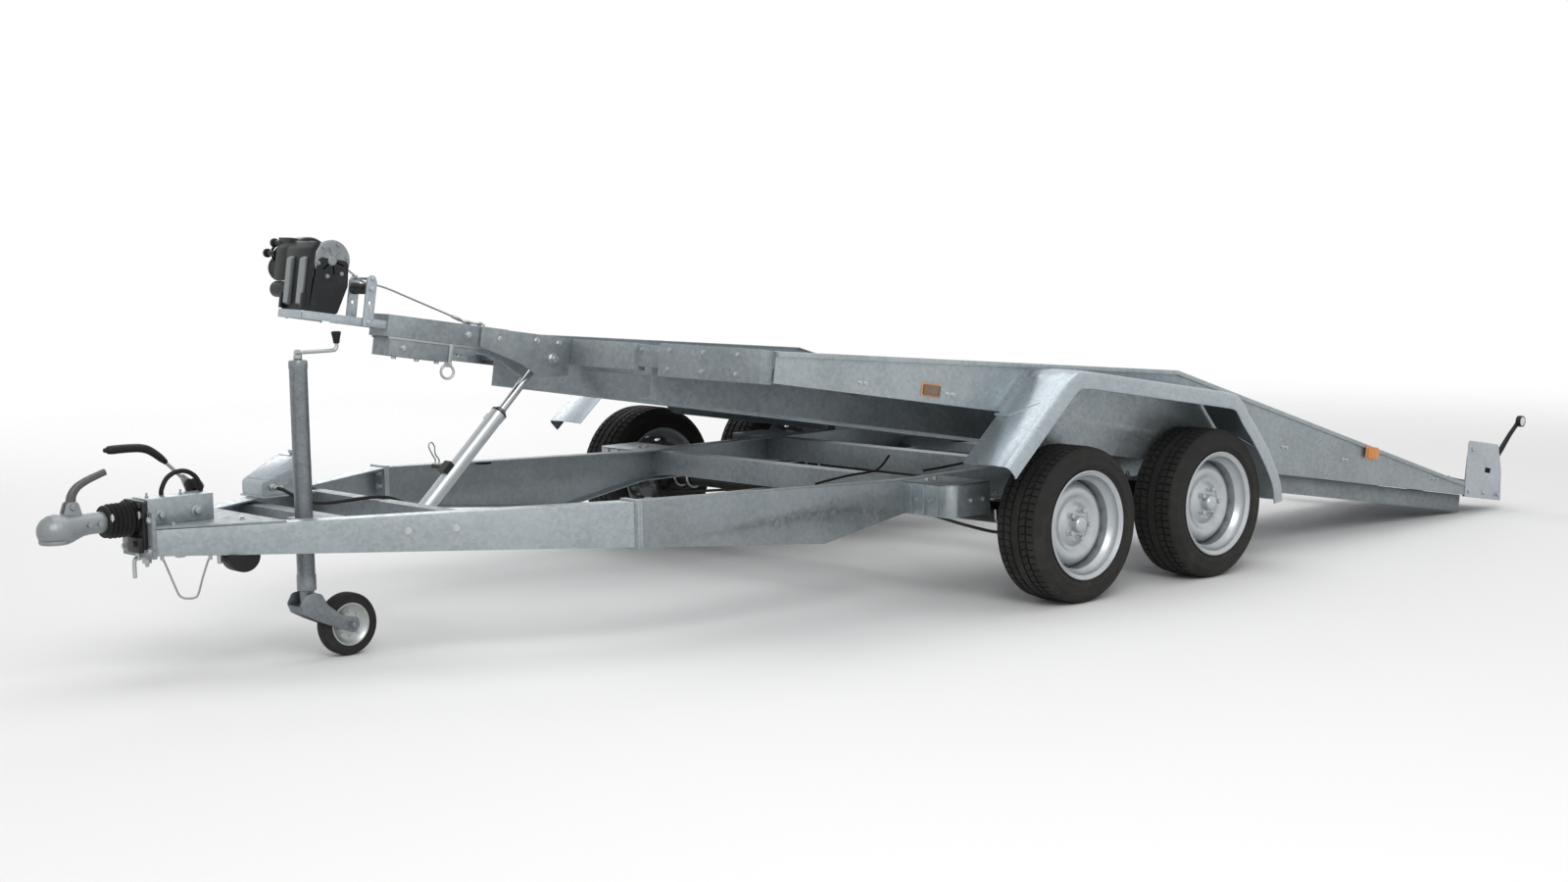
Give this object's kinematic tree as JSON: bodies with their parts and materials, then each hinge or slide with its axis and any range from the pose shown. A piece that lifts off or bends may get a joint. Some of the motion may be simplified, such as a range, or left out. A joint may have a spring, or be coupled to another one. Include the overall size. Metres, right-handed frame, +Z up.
{
  "type": "tilt-bed car trailer",
  "caption": "Twin-axle car transporter trailer with a V drawbar, a hydraulically tilting bed with two runways, a nose winch and a jockey wheel.",
  "frame": {"origin": "on the ground, under the middle of the trailer's length and width", "axes": "+X runs from the coupling to the tail, +Y is the side that is to the right seen from the coupling, +Z is up; the bed is in its loading position"},
  "size_m": [6.1896, 2.411, 1.2639],
  "materials": {
    "galvanised": "hot-dip galvanised, spangled",
    "spring_steel": "black paint",
    "cast_metal": "zinc-plated casting",
    "black_rubber": "matt rubber",
    "black_grip": "matt black plastic",
    "wire": "stranded galvanised wire",
    "tyre": "matt tread rubber",
    "rim": "silver paint",
    "ram_steel": "silver-grey paint",
    "ram_chrome": "ground chrome",
    "winch_black": "black satin",
    "winch_steel": "bare steel",
    "amber": "translucent amber"
  },
  "bodies": {
    "chassis": {"drawbar_left": "galvanised", "drawbar_right": "galvanised", "side_member_left": "galvanised", "side_member_right": "galvanised", "head_plate": "galvanised", "crossmembers": "galvanised", "pivot_brackets": "galvanised", "spring_hangers": "galvanised", "leaf_springs": "spring_steel", "front_axle": "spring_steel", "rear_axle": "spring_steel", "coupling_housing": "galvanised", "bellows": "black_rubber", "brake_cable": "black_rubber", "safety_wire": "wire", "pump_box": "galvanised", "jockey_tube": "galvanised"},
    "bed": {"side_rail_left": "galvanised", "side_rail_right": "galvanised", "inner_beams": "galvanised", "front_beam": "galvanised", "bed_crossmembers": "galvanised", "runway_left": "galvanised", "runway_right": "galvanised", "nose_beam": "galvanised", "winch_frame": "winch_black", "winch_rope": "wire", "guide_post": "galvanised", "ram_bracket": "galvanised", "mudguard_left": "galvanised", "mudguard_right": "galvanised", "rear_skids": "galvanised", "lamp_plates": "galvanised", "side_lamps": "amber", "marker_lamps": "black_rubber"},
    "coupling": {"coupling_head": "cast_metal"},
    "coupling_lever": {"coupling_lever": "cast_metal"},
    "handbrake": {"handbrake_lever": "black_grip"},
    "jockey_leg": {"jockey_leg": "galvanised"},
    "jockey_fork": {"jockey_fork": "galvanised"},
    "jockey_wheel": {"jockey_wheel": "black_grip"},
    "jockey_crank": {"jockey_crank": "cast_metal"},
    "ram_cylinder": {"ram_cylinder": "ram_steel"},
    "ram_rod": {"ram_rod": "ram_chrome"},
    "winch_drum": {"winch_drum": "winch_steel"},
    "wheel_front_left": {"tyre_front_left": "tyre", "rim_front_left": "rim"},
    "wheel_front_right": {"tyre_front_right": "tyre", "rim_front_right": "rim"},
    "wheel_rear_left": {"tyre_rear_left": "tyre", "rim_rear_left": "rim"},
    "wheel_rear_right": {"tyre_rear_right": "tyre", "rim_rear_right": "rim"}
  },
  "joints": [
    {"name": "bed_tilt", "type": "hinge", "parent": "chassis", "child": "bed", "pos_m": [0.70811, 0, 0.5], "axis": [0, -1, 0], "range_deg": [0, 9.2]},
    {"name": "ram_pivot", "type": "hinge", "parent": "chassis", "child": "ram_cylinder", "pos_m": [-1.87189, 0, 0.34], "axis": [0, 1, 0], "range_deg": [0, 24.02]},
    {"name": "ram_slide", "type": "slide", "parent": "ram_cylinder", "child": "ram_rod", "axis": [0.7274, 0, 0.6862], "range_m": [-0.20222, 0]},
    {"name": "overrun", "type": "slide", "parent": "chassis", "child": "coupling", "axis": [1, 0, 0], "range_m": [0, 0.05]},
    {"name": "coupling_handle", "type": "hinge", "parent": "coupling", "child": "coupling_lever", "pos_m": [-2.99389, 0, 0.531], "axis": [0, -1, 0], "range_deg": [0, 50]},
    {"name": "handbrake", "type": "hinge", "parent": "chassis", "child": "handbrake", "pos_m": [-2.57889, 0.066, 0.534], "axis": [0, 1, 0], "range_deg": [0, 55]},
    {"name": "jockey_screw", "type": "slide", "parent": "chassis", "child": "jockey_leg", "axis": [0, 0, 1], "range_m": [-0.2, 0]},
    {"name": "jockey_swivel", "type": "hinge", "parent": "jockey_leg", "child": "jockey_fork", "pos_m": [-2.29989, -0.092, 0.16], "axis": [0, 0, 1], "continuous": true},
    {"name": "jockey_roll", "type": "hinge", "parent": "jockey_fork", "child": "jockey_wheel", "pos_m": [-2.16489, -0.092, 0.096], "axis": [0, 1, 0], "continuous": true},
    {"name": "jockey_crank", "type": "hinge", "parent": "chassis", "child": "jockey_crank", "pos_m": [-2.29989, -0.092, 0.92], "axis": [0, 0, 1], "continuous": true},
    {"name": "winch_drum", "type": "hinge", "parent": "bed", "child": "winch_drum", "pos_m": [-2.13756, 0.03, 1.19389], "axis": [0, 1, 0], "continuous": true},
    {"name": "roll_front_left", "type": "hinge", "parent": "chassis", "child": "wheel_front_left", "pos_m": [0.00511, -1.1, 0.2625], "axis": [0, 1, 0], "continuous": true},
    {"name": "roll_front_right", "type": "hinge", "parent": "chassis", "child": "wheel_front_right", "pos_m": [0.00511, 1.1, 0.2625], "axis": [0, 1, 0], "continuous": true},
    {"name": "roll_rear_left", "type": "hinge", "parent": "chassis", "child": "wheel_rear_left", "pos_m": [0.71111, -1.1, 0.2625], "axis": [0, 1, 0], "continuous": true},
    {"name": "roll_rear_right", "type": "hinge", "parent": "chassis", "child": "wheel_rear_right", "pos_m": [0.71111, 1.1, 0.2625], "axis": [0, 1, 0], "continuous": true}
  ],
  "couplings": [
    {"joint": "ram_pivot", "follows": "bed_tilt", "ratio": 2.6057},
    {"joint": "ram_slide", "follows": "bed_tilt", "m_per_rad": -1.2563}
  ]
}
